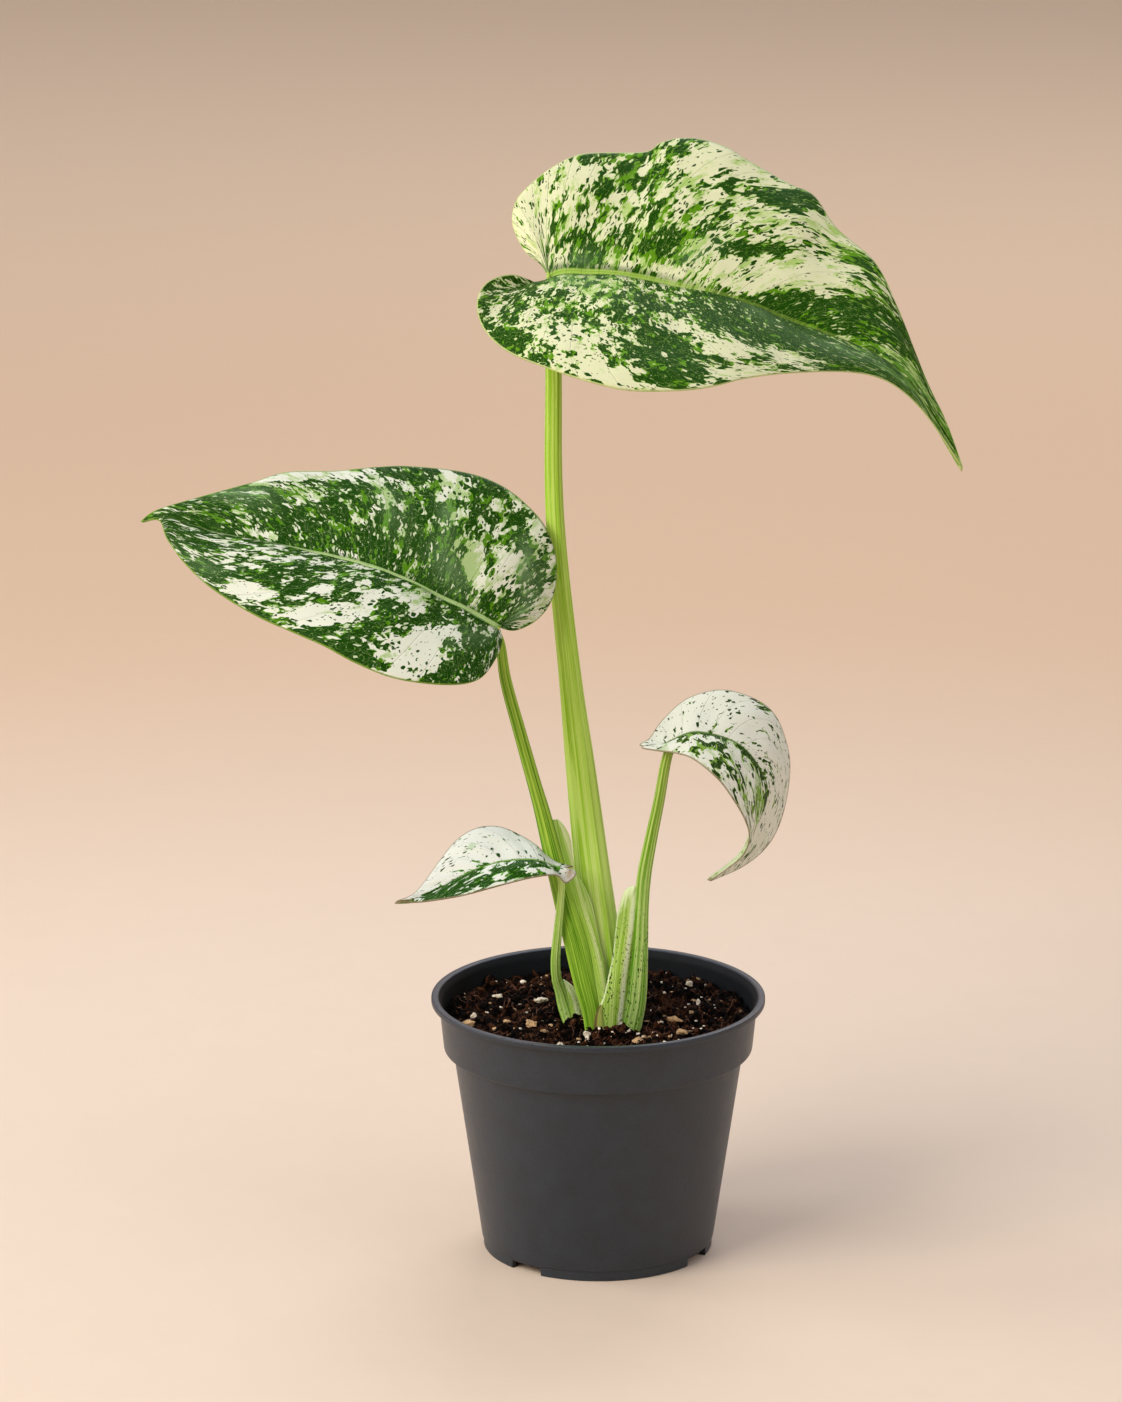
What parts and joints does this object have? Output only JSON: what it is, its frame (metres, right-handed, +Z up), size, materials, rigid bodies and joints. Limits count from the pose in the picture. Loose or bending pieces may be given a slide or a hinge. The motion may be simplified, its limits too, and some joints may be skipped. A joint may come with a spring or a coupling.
{
  "type": "potted philodendron",
  "caption": "Young variegated philodendron with heart-shaped and curled leaves on upright stalks, in a tapered dark grey nursery pot filled with potting soil.",
  "frame": {"origin": "centre of the pot's foot, on the surface that the pot stands on", "axes": "+Z up along the pot's axis, +X to the plant's right as seen from its front, +Y to its back"},
  "size_m": [0.2883, 0.12, 0.3967],
  "materials": {
    "pot": "matte",
    "soil": "matte",
    "root_crown": "matte",
    "petiole_tall": "satin",
    "petiole_left": "satin",
    "petiole_right": "satin",
    "petiole_small": "satin",
    "basal_scale": "matte",
    "blade_tall": "satin",
    "blade_left": "satin",
    "blade_right": "satin",
    "blade_small": "satin",
    "perlite": "matte",
    "bark": "matte"
  },
  "bodies": {
    "root": {"pot": "pot", "soil": "soil", "root_crown": "root_crown", "petiole_tall": "petiole_tall", "petiole_left": "petiole_left", "petiole_right": "petiole_right", "petiole_small": "petiole_small", "basal_scale": "basal_scale", "blade_tall": "blade_tall", "blade_left": "blade_left", "blade_right": "blade_right", "blade_small": "blade_small", "perlite_01": "perlite", "perlite_02": "perlite", "perlite_03": "perlite", "perlite_04": "perlite", "perlite_05": "perlite", "perlite_06": "perlite", "perlite_07": "perlite", "perlite_08": "perlite", "perlite_09": "perlite", "perlite_10": "perlite", "bark_chip_1": "bark", "bark_chip_2": "bark", "bark_chip_3": "bark", "bark_chip_4": "bark", "bark_chip_5": "bark"}
  },
  "joints": []
}
